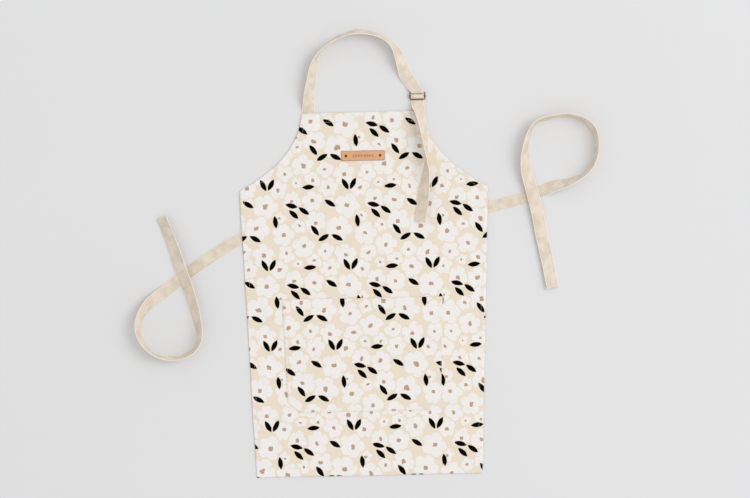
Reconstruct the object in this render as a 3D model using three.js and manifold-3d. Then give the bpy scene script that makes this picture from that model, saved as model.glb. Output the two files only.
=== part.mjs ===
// An adult's bib apron laid flat, face up, with its straps lying loose around it.
// Millimetres. +Z is up out of the surface it lies on, +Y runs from the hem to the neck, and +X is
// to the right of someone looking down at it. The origin is on the surface, under the middle of
// the apron and its neck strap; the two waist ties are not counted in that middle.
import * as THREE from "three";
import { mergeVertices } from "three/addons/utils/BufferGeometryUtils.js";
import Module from "manifold-3d";

const wasm = await Module();
wasm.setup();

// ---------------------------------------------------------------- driving dimensions
const GAP = 0.3; // left between pieces that touch

const CANVAS_THICKNESS = 1.0;
const STRAP_WIDTH = 31;
const STRAP_THICKNESS = 1.3;

// Where the straps tuck under the apron, its cloth lies over them.
const UNDERSIDE_Z = STRAP_THICKNESS + GAP;
const FACE_Z = UNDERSIDE_Z + CANVAS_THICKNESS;

const BODY = {
  length: 886, // bib top to bottom hem
  topY: 341,
  bibHalfWidth: 146,
  underarmHalfWidth: 303,
  underarmDrop: 187, // from the bib top to the widest point
  armholeFlare: 0.28025, // how far out the armhole starts to turn: 0 is the bib's side, 1 the widest point
  hemHalfWidth: 275,
  sideHem: 12,
  endHem: 25, // the bib's top hem and the bottom hem
};
const HEM_Y = BODY.topY - BODY.length;
const UNDERARM_Y = BODY.topY - BODY.underarmDrop;

const POCKET = {
  topWidth: 392,
  bottomWidth: 371,
  height: 276,
  chamfer: 26,
  topHem: 25,
  centreX: -9,
  topBelowBib: 453,
};

const LABEL = { width: 106, height: 24, thickness: 2, corner: 1.5, belowBib: 106 };
const RIVET = { spacing: 83.4, capRadius: 3.4, capHeight: 1.1, postRadius: 1.2, baseThickness: 1 };

const STRAP_TUCK = 30; // how far a neck strap's sewn end reaches down behind the bib
const STRAP_INSET = 15; // from the bib's corner to the middle of each neck strap

const WIRE_RADIUS = 1.2;
const BUCKLE = {
  x: 135.5,
  aboveBib: 28.3, // bib top to the middle of the bottom bar
  barSpacing: 18, // bottom bar to top bar
  cornerRadius: 3.5,
  sideClearance: 0.4, // between the strap's edge and the slide bar's eyes
};
const SLIDE_BAR = { depth: 4, thickness: 1.2, eyeWall: 0.8, eyeLength: 5, fromBottomBar: 8.4 };

const BOTTOM_BAR_Y = BODY.topY + BUCKLE.aboveBib;
const SLIDE_BAR_Y = BOTTOM_BAR_Y + SLIDE_BAR.fromBottomBar;
const TOP_BAR_Y = BOTTOM_BAR_Y + BUCKLE.barSpacing;
const EYE_RADIUS = WIRE_RADIUS + 0.25 + SLIDE_BAR.eyeWall;
const SIDE_WIRE_X = STRAP_WIDTH / 2 + BUCKLE.sideClearance + EYE_RADIUS;

// Heights in the buckle, counted up from the surface through the layers of strap.
const LOWER_Z = STRAP_THICKNESS / 2 + 0.1;
const TAIL_Z = LOWER_Z + STRAP_THICKNESS + 0.5;
const WIRE_Z = TAIL_Z + STRAP_THICKNESS / 2 + GAP + WIRE_RADIUS;
const SLIDE_BAR_Z = WIRE_Z - EYE_RADIUS + SLIDE_BAR.thickness / 2;
const FOLD_Z = SLIDE_BAR_Z + SLIDE_BAR.thickness / 2 + GAP + STRAP_THICKNESS / 2;
const ON_FLAP = STRAP_THICKNESS + GAP; // how much the neck strap is raised by its own turned end

// ---------------------------------------------------------------- solids and materials
function solid(geometry) {
  const bare = geometry.clone();
  bare.deleteAttribute("normal");
  bare.deleteAttribute("uv");
  const merged = mergeVertices(bare, 1e-4);
  return new wasm.Manifold(
    new wasm.Mesh({
      numProp: 3,
      vertProperties: merged.attributes.position.array,
      triVerts: new Uint32Array(merged.index.array),
    }),
  );
}

function geometryOf(made) {
  const mesh = made.getMesh();
  const geometry = new THREE.BufferGeometry();
  geometry.setAttribute("position", new THREE.BufferAttribute(mesh.vertProperties, 3));
  geometry.setIndex(new THREE.BufferAttribute(mesh.triVerts, 1));
  const faceted = geometry.toNonIndexed();
  faceted.computeVertexNormals();
  return faceted;
}

const apron = new THREE.Group();

function addPiece(name, geometry, finish) {
  const piece = new THREE.Mesh(geometry, new THREE.MeshStandardMaterial(finish));
  piece.name = name;
  apron.add(piece);
  return piece;
}

const PRINTED_CANVAS = { color: 0xece0d0, roughness: 0.92, metalness: 0 };
const NATURAL_COTTON = { color: 0xecdcc6, roughness: 0.9, metalness: 0 };
const TAN_LEATHER = { color: 0xdca87f, roughness: 0.55, metalness: 0 };
const AGED_METAL = { color: 0x4a3528, roughness: 0.4, metalness: 0.9 };

// ---------------------------------------------------------------- flat cloth
// Half the apron's edge, from the middle of the bib top to the middle of the bottom hem.
function apronEdge() {
  const armhole = new THREE.CubicBezierCurve(
    new THREE.Vector2(BODY.bibHalfWidth, BODY.topY),
    new THREE.Vector2(BODY.bibHalfWidth + 12, BODY.topY - 0.37 * BODY.underarmDrop),
    new THREE.Vector2(
      THREE.MathUtils.lerp(BODY.bibHalfWidth, BODY.underarmHalfWidth, BODY.armholeFlare),
      UNDERARM_Y + 0.33 * BODY.underarmDrop,
    ),
    new THREE.Vector2(BODY.underarmHalfWidth, UNDERARM_Y),
  );
  const right = [...armhole.getPoints(24), new THREE.Vector2(BODY.hemHalfWidth, HEM_Y)];
  const left = right.map((p) => new THREE.Vector2(-p.x, p.y)).reverse();
  return [...right, ...left];
}

// Moves every side of a clockwise outline inwards by its own hem's width.
function insideHem(edge, hemOf) {
  const sides = edge.map((from, i) => {
    const to = edge[(i + 1) % edge.length];
    const along = to.clone().sub(from).normalize();
    return { inward: new THREE.Vector2(along.y, -along.x), hem: hemOf(from, to) };
  });
  return edge.map((corner, i) => {
    const a = sides[(i + edge.length - 1) % edge.length];
    const b = sides[i];
    const turn = a.inward.x * b.inward.y - a.inward.y * b.inward.x;
    if (Math.abs(turn) < 1e-6) return corner.clone().addScaledVector(b.inward, b.hem);
    return new THREE.Vector2(
      corner.x + (a.hem * b.inward.y - b.hem * a.inward.y) / turn,
      corner.y + (b.hem * a.inward.x - a.hem * b.inward.x) / turn,
    );
  });
}

function plate(outline, bottom, top) {
  const geometry = new THREE.ExtrudeGeometry(new THREE.Shape(outline), {
    depth: top - bottom,
    bevelEnabled: false,
  });
  return geometry.translate(0, 0, bottom);
}

// A round hole for a rivet's post, with room around it.
function postHole(x) {
  const hole = new THREE.CylinderGeometry(RIVET.postRadius + GAP, RIVET.postRadius + GAP, 40, 24);
  return solid(hole.rotateX(Math.PI / 2).translate(x, LABEL_Y, 0));
}
const LABEL_Y = BODY.topY - LABEL.belowBib;
const RIVET_XS = [-RIVET.spacing / 2, RIVET.spacing / 2];

function withPostHoles(made) {
  return RIVET_XS.reduce((cut, x) => cut.subtract(postHole(x)), made);
}

// One thickness of canvas, with its turned hem making up the height to the surface below.
function bodyPanel(tucked) {
  const edge = apronEdge();
  const isEnd = (from, to) => Math.abs(from.y - to.y) < 1e-6;
  const inner = insideHem(edge, (from, to) => (isEnd(from, to) ? BODY.endHem : BODY.sideHem));
  const hollow = solid(plate(inner, -1, UNDERSIDE_Z));
  const cloth = solid(plate(edge, 0, FACE_Z)).subtract(hollow);
  return withPostHoles(tucked.reduce((cut, strap) => cut.subtract(strap), cloth));
}

function pocketPanel() {
  const { topWidth, bottomWidth, height, chamfer, topHem, centreX } = POCKET;
  const top = BODY.topY - POCKET.topBelowBib;
  const taper = (topWidth - bottomWidth) / 2 / height;
  const halfAt = (drop) => topWidth / 2 - taper * drop;
  const across = [
    [halfAt(0), 0],
    [halfAt(height - chamfer), height - chamfer],
    [bottomWidth / 2 - chamfer, height],
  ];
  const corner = (half, drop) => new THREE.Vector2(centreX + half, top - drop);
  const outline = [
    ...across.map(([half, drop]) => corner(half, drop)),
    ...across.map(([half, drop]) => corner(-half, drop)).reverse(),
  ];
  const hem = [corner(halfAt(0), 0), corner(halfAt(topHem), topHem)];
  const hemBand = [...hem, ...hem.map((p) => new THREE.Vector2(2 * centreX - p.x, p.y)).reverse()];
  const bottom = FACE_Z + GAP;
  return solid(plate(outline, bottom, bottom + CANVAS_THICKNESS)).add(
    solid(plate(hemBand, bottom, bottom + 2 * CANVAS_THICKNESS)),
  );
}

// ---------------------------------------------------------------- the leather label
const LABEL_BOTTOM_Z = FACE_Z + GAP;
const LABEL_TOP_Z = LABEL_BOTTOM_Z + LABEL.thickness;

function leatherLabel() {
  const { width, height, corner } = LABEL;
  const outline = new THREE.Shape();
  const centres = [
    [1, 1, 0],
    [-1, 1, 1],
    [-1, -1, 2],
    [1, -1, 3],
  ];
  centres.forEach(([sx, sy, quarter]) => {
    const x = sx * (width / 2 - corner);
    const y = LABEL_Y + sy * (height / 2 - corner);
    const start = (quarter * Math.PI) / 2;
    outline.absarc(x, y, corner, start, start + Math.PI / 2, false);
  });
  return withPostHoles(solid(plate(outline.getPoints(5), LABEL_BOTTOM_Z, LABEL_TOP_Z)));
}

function rivetCap(x) {
  const under = LABEL_TOP_Z + GAP;
  const dome = new THREE.SplineCurve([
    new THREE.Vector2(RIVET.capRadius, under + 0.3),
    new THREE.Vector2(RIVET.capRadius * 0.8, under + 0.75 * RIVET.capHeight),
    new THREE.Vector2(0, under + RIVET.capHeight),
  ]).getPoints(6);
  const profile = [
    new THREE.Vector2(0, UNDERSIDE_Z),
    new THREE.Vector2(RIVET.postRadius, UNDERSIDE_Z),
    new THREE.Vector2(RIVET.postRadius, under),
    new THREE.Vector2(RIVET.capRadius, under),
    ...dome,
  ];
  return new THREE.LatheGeometry(profile, 24).rotateX(Math.PI / 2).translate(x, LABEL_Y, 0);
}

function rivetBase(x) {
  const { capRadius, baseThickness } = RIVET;
  const disc = new THREE.CylinderGeometry(capRadius, capRadius, baseThickness, 24);
  const z = UNDERSIDE_Z - GAP - baseThickness / 2;
  return disc.rotateX(Math.PI / 2).translate(x, LABEL_Y, z);
}

// ---------------------------------------------------------------- straps
const UP = new THREE.Vector3(0, 0, 1);

// A box bent along a path. acrossAt gives the direction of the strap's width at each point, and
// restsAbove how far the strap's middle stands over the path there.
function strapAlong(path, acrossAt, steps, { restsAbove = () => 0, clearance = 0 } = {}) {
  const bar = new THREE.BoxGeometry(1, 1, 1, 1, 1, steps);
  const place = bar.attributes.position;
  for (let i = 0; i < place.count; i++) {
    const t = place.getZ(i) + 0.5;
    const across = acrossAt(t);
    const through = new THREE.Vector3().crossVectors(path.getTangent(t), across).normalize();
    const spot = path
      .getPoint(t)
      .addScaledVector(UP, restsAbove(t, across, through))
      .addScaledVector(across, place.getX(i) * (STRAP_WIDTH + 2 * clearance))
      .addScaledVector(through, place.getY(i) * (STRAP_THICKNESS + 2 * clearance));
    place.setXYZ(i, spot.x, spot.y, spot.z);
  }
  return bar;
}

// A strap lying on a surface by its lower edge. Each point of its route is
// [x, y, lean in degrees, height of the lower edge]; a positive lean lifts its left edge.
function lyingStrap(route, steps) {
  const path = new THREE.CatmullRomCurve3(route.map(([x, y]) => new THREE.Vector3(x, y, 0)));
  const rolls = new THREE.CatmullRomCurve3(
    route.map(([, , lean, lift = 0]) => new THREE.Vector3(lean, lift, 0)),
    false,
    "catmullrom",
    0,
  );
  const acrossAt = (t) => {
    const lean = THREE.MathUtils.degToRad(rolls.getPoint(t).x);
    const left = new THREE.Vector3().crossVectors(UP, path.getTangent(t)).normalize();
    return left.multiplyScalar(Math.cos(lean)).addScaledVector(UP, Math.sin(lean));
  };
  const restsAbove = (t, across, through) =>
    rolls.getPoint(t).y +
    (STRAP_WIDTH * Math.abs(across.z) + STRAP_THICKNESS * Math.abs(through.z)) / 2;
  return {
    geometry: strapAlong(path, acrossAt, steps, { restsAbove }),
    channel: () => solid(strapAlong(path, acrossAt, steps, { restsAbove, clearance: GAP })),
  };
}

// A strap that folds over a bar, seen from the bar's end as [y, z] points. xAt and turnAt give the
// middle of its width and how far its width is turned from the bar, for a strap that leaves askew.
function foldedStrap(profile, steps, xAt = () => BUCKLE.x, turnAt = () => 0) {
  const path = new THREE.CatmullRomCurve3(profile.map(([y, z]) => new THREE.Vector3(xAt(y), y, z)));
  const acrossAt = (t) => {
    const turn = turnAt(path.getPoint(t).y);
    return new THREE.Vector3(Math.cos(turn), Math.sin(turn), 0);
  };
  return strapAlong(path, acrossAt, steps);
}

// Points round the half circle that a strap takes about (y, z), from its top to its underside.
// side is +1 where the strap bulges towards the neck, and -1 where it bulges towards the hem.
function halfTurn(y, z, radius, side) {
  const angles = [0, 1, 2, 3, 4, 5, 6].map((step) => (step * Math.PI) / 6);
  return angles.map((a) => [y + side * radius * Math.sin(a), z + radius * Math.cos(a)]);
}

const LEFT_STRAP_X = -(BODY.bibHalfWidth - STRAP_INSET);
const RIGHT_STRAP_X = BODY.bibHalfWidth - STRAP_INSET;

// The neck strap reaches the buckle askew, so its turned end leaves the top bar at a slant.
const TURNED_END = 30; // from the top bar to where the turned end stops
const SLANT = 0.65; // sideways per unit of length
const askewX = (y) => BUCKLE.x - SLANT * Math.max(0, y - TOP_BAR_Y);

// The neck strap leaves the bib's left corner flat, turns on edge over the top of its arch and
// comes down to the buckle with its other face up. Each point gives how far across it is, from
// the left corner (0) to the buckle (1), its height above the bib's top, and its lean.
const NECK_ARCH = [
  [0.0, -STRAP_TUCK, 0],
  [0.0, -14, 0],
  [0.0, 4, 0],
  [0.004, 18, 12],
  [0.008, 33, 24],
  [0.019, 57, 36],
  [0.034, 81, 46],
  [0.049, 105, 57],
  [0.077, 129, 68],
  [0.109, 145, 80],
  [0.165, 161, 90],
  [0.259, 179, 99],
  [0.349, 190, 106],
  [0.417, 195, 109],
  [0.488, 197, 110],
  [0.578, 193, 108],
  [0.672, 184, 106],
  [0.743, 172, 109],
  [0.807, 153, 122],
  [0.85, 127, 142],
  [0.878, 104, 160],
];

function neckStrap() {
  const span = BUCKLE.x - LEFT_STRAP_X;
  const arch = NECK_ARCH.map(([share, above, lean]) => [
    LEFT_STRAP_X + share * span,
    BODY.topY + above,
    lean,
  ]);
  const joinY = TOP_BAR_Y + TURNED_END + GAP;
  return lyingStrap(
    [...arch, [askewX(joinY + 14), joinY + 14, 175, ON_FLAP / 2], [askewX(joinY), joinY, 180, ON_FLAP]],
    96,
  );
}

// The end of the neck strap: over the top bar, round it and back under itself to be sewn.
function neckStrapEnd() {
  const end = TOP_BAR_Y + TURNED_END;
  const radius = WIRE_RADIUS + GAP + STRAP_THICKNESS / 2;
  const profile = [
    [end, LOWER_Z + ON_FLAP],
    [end - 7, LOWER_Z + ON_FLAP + 0.1],
    [end - 14, LOWER_Z + ON_FLAP + 1.1],
    [end - 22, WIRE_Z + radius - 1.2],
    ...halfTurn(TOP_BAR_Y, WIRE_Z, radius, -1),
    [TOP_BAR_Y + 7, LOWER_Z + 0.7],
    [TOP_BAR_Y + 14, LOWER_Z],
    [end, LOWER_Z],
  ];
  const turnAt = (y) => {
    const reach = THREE.MathUtils.clamp((y - TOP_BAR_Y - 3) / (TURNED_END - 3), 0, 1);
    return reach * Math.atan(SLANT);
  };
  return foldedStrap(profile, 48, askewX, turnAt);
}

// The adjusting strap comes up from behind the bib's right corner to the slide bar, turns back
// over it, and goes down under the bottom bar as the free tail.
const FOLD_FOOT = 3; // how far below the slide bar's middle the fold's lower layer starts
const FOLD_TOE = 3; // how far above the bottom bar the fold hands over to the tail

function adjustStrapAnchor() {
  const end = SLIDE_BAR_Y - FOLD_FOOT - GAP;
  return lyingStrap(
    [
      [RIGHT_STRAP_X, BODY.topY - STRAP_TUCK, 0],
      [RIGHT_STRAP_X, BODY.topY - 10, 0],
      [(RIGHT_STRAP_X + BUCKLE.x) / 2, (BODY.topY + BOTTOM_BAR_Y) / 2, 0],
      [BUCKLE.x, BOTTOM_BAR_Y, 0],
      [BUCKLE.x, end, 0],
    ],
    16,
  );
}

function adjustStrapFold() {
  const turnY = SLIDE_BAR_Y + SLIDE_BAR.depth / 2 + 0.1;
  const toe = BOTTOM_BAR_Y + FOLD_TOE;
  const profile = [
    [toe, TAIL_Z],
    [toe + 0.6, TAIL_Z + 0.25],
    [(toe + SLIDE_BAR_Y) / 2 - 0.6, (TAIL_Z + FOLD_Z) / 2 + 0.3],
    [SLIDE_BAR_Y - 1.4, FOLD_Z],
    ...halfTurn(turnY, (FOLD_Z + LOWER_Z) / 2, (FOLD_Z - LOWER_Z) / 2, 1),
    [SLIDE_BAR_Y - FOLD_FOOT, LOWER_Z],
  ];
  return foldedStrap(profile, 40);
}

// The tail turns half over on its way down the bib. Each point is how far it is to the right of
// the buckle's middle and below the bib's top, with its lean.
const TAIL_ROUTE = [
  [1, -14, -12],
  [5, 0, -32],
  [8, 14, -43],
  [12, 34, -51],
  [15, 58, -58],
  [17.5, 78, -65],
  [19, 97, -74],
  [19.5, 111, -88],
  [18.5, 126, -104],
  [17, 146, -119],
  [15, 169, -130],
  [12, 194, -138],
  [8.5, 220, -143],
  [5, 244, -146],
  [0.5, 270, -148],
];

function adjustStrapTail() {
  const underBar = TAIL_Z - STRAP_THICKNESS / 2;
  const onBib = FACE_Z + GAP;
  const route = TAIL_ROUTE.map(([right, below, lean]) => [
    BUCKLE.x + right,
    BODY.topY - below,
    lean,
    onBib,
  ]);
  return lyingStrap(
    [
      [BUCKLE.x, BOTTOM_BAR_Y + FOLD_TOE - GAP, 0, underBar],
      [BUCKLE.x, BOTTOM_BAR_Y - 3, 0, underBar],
      ...route,
    ],
    80,
  );
}

// ---------------------------------------------------------------- waist ties
// Each tie comes out from behind the apron's side, rolls up on its outer edge round one loop and
// lies back over itself. Each point is how far it is out from the apron's side, its y, its lean,
// and 1 where it rests on its own first leg.
const LEFT_TIE_ROUTE = [
  [-36, 70, 0],
  [-18, 54, 0],
  [4, 37, 0],
  [29, 26, 0],
  [54, 10, 0],
  [78, -5, 0],
  [103, -22, 0],
  [128, -39, 0],
  [153, -56, 0],
  [178, -77, 0],
  [202, -95, -8],
  [226, -113, -28],
  [242, -130, -48],
  [253, -149, -62],
  [258, -169, -68],
  [256, -191, -72],
  [247, -211, -76],
  [232, -229, -77],
  [213, -242, -76],
  [188, -249, -74],
  [162, -249, -74],
  [139, -242, -74],
  [120, -229, -73],
  [109, -210, -68],
  [108, -187, -57, 0.3],
  [112, -162, -47, 0.7],
  [117, -138, -40, 1],
  [123, -113, -37, 1],
  [130, -89, -34, 1],
  [138, -64, -32, 1],
  [147, -39, -31, 1],
  [155, -15, -30, 1],
  [163, 10, -30, 0.6],
  [172, 34, -30, 0.2],
  [180, 56, -30],
  [189, 79, -31],
  [195, 94, -32],
];

const RIGHT_TIE_ROUTE = [
  [-38, 91, 0],
  [-18, 97, 0],
  [2, 102, 0],
  [30, 109, 0],
  [56, 115, 0],
  [81, 121, 0],
  [105, 129, 0],
  [130, 139, 0],
  [155, 148, -10],
  [179, 155, -34],
  [203, 161, -54],
  [223, 169, -68],
  [241, 180, -75],
  [257, 197, -77],
  [267, 220, -76],
  [271, 244, -74],
  [269, 269, -70],
  [260, 291, -67],
  [243, 309, -70],
  [222, 319, -74],
  [197, 323, -76],
  [172, 321, -76],
  [148, 316, -75],
  [128, 309, -75],
  [114, 296, -74],
  [104, 277, -70],
  [98, 253, -62],
  [95, 228, -51, 0.3],
  [96, 204, -36, 0.7],
  [100, 180, -23, 1],
  [107, 155, -15, 1],
  [113, 130, -12, 1],
  [119, 106, -12, 1],
  [124, 81, -12, 0.7],
  [128, 57, -12, 0.3],
  [132, 32, -12],
  [137, 8, -12],
  [142, -17, -12],
  [147, -41, -13],
  [151, -66, -14],
  [157, -97, -15],
];

const TIE_ANCHOR_DROP = 84; // from the widest point of the apron down to the ties
const TIE_ANCHOR_X = THREE.MathUtils.lerp(
  BODY.underarmHalfWidth,
  BODY.hemHalfWidth,
  TIE_ANCHOR_DROP / (UNDERARM_Y - HEM_Y),
);

function waistTie(route, side) {
  const points = route.map(([out, y, lean, over = 0]) => [
    side * (TIE_ANCHOR_X + out),
    y,
    lean,
    over * 2 * ON_FLAP,
  ]);
  return lyingStrap(points, 100);
}

// ---------------------------------------------------------------- the adjusting buckle
// A wire bent into a rectangle with rounded corners.
function buckleFrame() {
  const outline = new THREE.Shape();
  const radius = BUCKLE.cornerRadius;
  const corners = [
    [1, TOP_BAR_Y, -1, 0],
    [-1, TOP_BAR_Y, -1, 1],
    [-1, BOTTOM_BAR_Y, 1, 2],
    [1, BOTTOM_BAR_Y, 1, 3],
  ];
  corners.forEach(([side, y, inwards, quarter]) => {
    const start = (quarter * Math.PI) / 2;
    const x = BUCKLE.x + side * (SIDE_WIRE_X - radius);
    outline.absarc(x, y + inwards * radius, radius, start, start + Math.PI / 2, false);
  });
  outline.closePath();
  const spaced = outline.getSpacedPoints(88).slice(0, -1);
  const ring = new THREE.CatmullRomCurve3(
    spaced.map((p) => new THREE.Vector3(p.x, p.y, WIRE_Z)),
    true,
  );
  return new THREE.TubeGeometry(ring, 88, WIRE_RADIUS, 12, true);
}

// A flat bar across the buckle, its two ends rolled into eyes that run on the side wires.
function slideBar() {
  const plateBar = new THREE.BoxGeometry(2 * SIDE_WIRE_X, SLIDE_BAR.depth, SLIDE_BAR.thickness);
  const eyes = [-1, 1].map((side) => [BUCKLE.x + side * SIDE_WIRE_X, SLIDE_BAR_Y, WIRE_Z]);
  const cylinder = (radius, length, at) =>
    solid(new THREE.CylinderGeometry(radius, radius, length, 28).translate(...at));
  const bar = solid(plateBar.translate(BUCKLE.x, SLIDE_BAR_Y, SLIDE_BAR_Z));
  const rolled = eyes.reduce((made, at) => made.add(cylinder(EYE_RADIUS, SLIDE_BAR.eyeLength, at)), bar);
  const bore = EYE_RADIUS - SLIDE_BAR.eyeWall;
  return eyes.reduce((made, at) => made.subtract(cylinder(bore, 2 * SLIDE_BAR.eyeLength, at)), rolled);
}

// ---------------------------------------------------------------- the whole apron
const neck = neckStrap();
const anchor = adjustStrapAnchor();
const leftTie = waistTie(LEFT_TIE_ROUTE, -1);
const rightTie = waistTie(RIGHT_TIE_ROUTE, 1);
const tucked = [neck, anchor, leftTie, rightTie].map((strap) => strap.channel());

addPiece("body_panel", geometryOf(bodyPanel(tucked)), PRINTED_CANVAS);
addPiece("pocket_panel", geometryOf(pocketPanel()), PRINTED_CANVAS);

addPiece("leather_label", geometryOf(leatherLabel()), TAN_LEATHER);
addPiece("rivet_cap_left", rivetCap(RIVET_XS[0]), AGED_METAL);
addPiece("rivet_cap_right", rivetCap(RIVET_XS[1]), AGED_METAL);
addPiece("rivet_base_left", rivetBase(RIVET_XS[0]), AGED_METAL);
addPiece("rivet_base_right", rivetBase(RIVET_XS[1]), AGED_METAL);

addPiece("neck_strap", neck.geometry, NATURAL_COTTON);
addPiece("neck_strap_end", neckStrapEnd(), NATURAL_COTTON);
addPiece("buckle_frame", buckleFrame(), AGED_METAL);
addPiece("buckle_slide_bar", geometryOf(slideBar()), AGED_METAL);
addPiece("adjust_strap_anchor", anchor.geometry, NATURAL_COTTON);
addPiece("adjust_strap_fold", adjustStrapFold(), NATURAL_COTTON);
addPiece("adjust_strap_tail", adjustStrapTail().geometry, NATURAL_COTTON);

addPiece("left_tie", leftTie.geometry, NATURAL_COTTON);
addPiece("right_tie", rightTie.geometry, NATURAL_COTTON);

export default apron;
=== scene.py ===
# %% [markdown]
# # A printed bib apron, laid flat
# The apron is a panel of printed cotton canvas with a patch pocket, a leather label on two rivets,
# a neck strap with an adjusting buckle, and two long waist ties. It lies face up with its straps
# loose. The imported model gives the apron's main places and sizes, so this lesson starts by loading
# it.

# %% Load the frame
import math
import random
from bisect import bisect_right

import bmesh
import bpy
from mathutils import Matrix, Vector, noise


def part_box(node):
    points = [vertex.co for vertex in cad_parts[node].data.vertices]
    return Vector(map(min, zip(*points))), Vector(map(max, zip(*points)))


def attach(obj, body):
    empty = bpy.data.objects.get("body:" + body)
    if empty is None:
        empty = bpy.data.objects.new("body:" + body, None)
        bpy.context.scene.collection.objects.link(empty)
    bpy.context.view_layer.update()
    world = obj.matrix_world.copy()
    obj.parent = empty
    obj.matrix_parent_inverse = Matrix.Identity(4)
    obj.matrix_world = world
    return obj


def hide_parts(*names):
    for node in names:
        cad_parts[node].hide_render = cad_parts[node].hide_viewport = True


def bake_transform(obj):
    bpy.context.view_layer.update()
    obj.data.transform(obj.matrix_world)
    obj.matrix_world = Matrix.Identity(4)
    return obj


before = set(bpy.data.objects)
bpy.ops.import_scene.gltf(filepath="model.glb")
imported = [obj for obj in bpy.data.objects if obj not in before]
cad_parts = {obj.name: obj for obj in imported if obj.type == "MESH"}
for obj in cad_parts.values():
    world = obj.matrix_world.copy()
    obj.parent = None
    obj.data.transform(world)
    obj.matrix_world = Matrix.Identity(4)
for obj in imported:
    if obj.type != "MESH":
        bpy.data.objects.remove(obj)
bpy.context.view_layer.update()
MM = 0.001


def packed(node):
    """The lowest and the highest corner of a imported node, in millimetres."""
    return [[round(value / MM, 2) for value in corner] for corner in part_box(node)]


# %% [markdown]
# ## Camera
# The apron is seen from straight above, a little turned. A camera close over it would look at the
# standing loops of the straps from the side, so it is set high up with a long lens, and the width of
# the view decides the focal length.

# %% Camera
VIEW_WIDTH = 1.83
VIEW_MIDDLE = (0.0245, 0.0068)
CAMERA_HEIGHT = 8
VIEW_TURN = math.radians(-1.2)

camera_data = bpy.data.cameras.new("camera")
camera_data.lens = camera_data.sensor_width * CAMERA_HEIGHT / VIEW_WIDTH
camera = bpy.data.objects.new("camera", camera_data)
camera.location = (*VIEW_MIDDLE, CAMERA_HEIGHT)
camera.rotation_euler = (0, 0, VIEW_TURN)
bpy.context.scene.collection.objects.link(camera)
bpy.context.scene.camera = camera
print("lens", round(camera_data.lens, 1), "mm")

# %% [markdown]
# ## Where a strap goes
# A strap is a flat tape of cotton that bends easily across its face and hardly at all along its
# edges, so a loop on a table rolls up on its edge. Each route below is a short list of points, with
# how far the strap leans there: 0 is flat, 90 is on edge, 180 is flat with its other face up. A
# smooth curve goes through the points, and the strap is raised just enough to rest on its lower
# edge. A curve object could carry a tape too, but it can't set how far the tape leans.

# %% Smooth curves through given points
def through_points(points, share):
    """The place at share along a centripetal curve through points, which are Vectors."""
    place = share * (len(points) - 1)
    i = min(int(place), len(points) - 2)
    t = place - i
    a, b = points[i], points[i + 1]
    before = points[i - 1] if i else 2 * a - b
    after = points[i + 2] if i + 2 < len(points) else 2 * b - a
    gaps = [max((q - p).length, 1e-9) ** 0.5 for p, q in ((before, a), (a, b), (b, after))]
    leave = (a - before) / gaps[0] - (b - before) / (gaps[0] + gaps[1]) + (b - a) / gaps[1]
    arrive = (b - a) / gaps[1] - (after - a) / (gaps[1] + gaps[2]) + (after - b) / gaps[2]
    return (
        a * (2 * t**3 - 3 * t**2 + 1)
        + leave * gaps[1] * (t**3 - 2 * t**2 + t)
        + b * (3 * t**2 - 2 * t**3)
        + arrive * gaps[1] * (t**3 - t**2)
    )


def smooth(value, low, high):
    """0 below low, 1 above high, and a soft step between."""
    t = min(max((value - low) / (high - low), 0), 1)
    return t * t * (3 - 2 * t)


def mixed(a, b, share):
    return a + (b - a) * share


class Track:
    """A line over the apron: places in metres, each with the way that the cloth faces there.

    widths says which way the cloth's width runs, where that isn't square to the line.
    """

    def __init__(self, spots, faces, widths=None):
        self.spots = spots
        self.faces = faces
        self.widths = widths
        self.run = [0.0]
        for a, b in zip(spots, spots[1:]):
            self.run.append(self.run[-1] + (b - a).length)
        self.length = self.run[-1]

    def at(self, distance):
        """(spot, along, across, face) at that distance from the start."""
        i = min(max(bisect_right(self.run, distance) - 1, 0), len(self.spots) - 2)
        share = (distance - self.run[i]) / max(self.run[i + 1] - self.run[i], 1e-9)
        spot = mixed(self.spots[i], self.spots[i + 1], share)
        ahead = self.spots[min(i + 2, len(self.spots) - 1)] - self.spots[i + 1]
        here = self.spots[i + 1] - self.spots[i]
        along = mixed(here, ahead, share).normalized() if ahead.length > 1e-9 else here.normalized()
        across = mixed(self.faces[i], self.faces[i + 1], share).cross(along).normalized()
        if self.widths:
            across = mixed(self.widths[i], self.widths[i + 1], share).normalized()
        return spot, along, across, along.cross(across).normalized()


# %% Lay a strap along its route
fold_low, fold_high = packed("adjust_strap_fold")
anchor_low, anchor_high = packed("adjust_strap_anchor")
STRAP_WIDTH = fold_high[0] - fold_low[0]
STRAP_THICKNESS = anchor_high[2] - anchor_low[2]
UP = Vector((0, 0, 1))
# How long a kink and a twist are and how much they turn a strap that stands on edge, in degrees, and
# how far a kink pushes it sideways.
KINK_LENGTH = 23
KINK_TURN = 7
KINK_PUSH = 1.4
TWIST_LENGTH = 60
TWIST_TURN = 5


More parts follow.
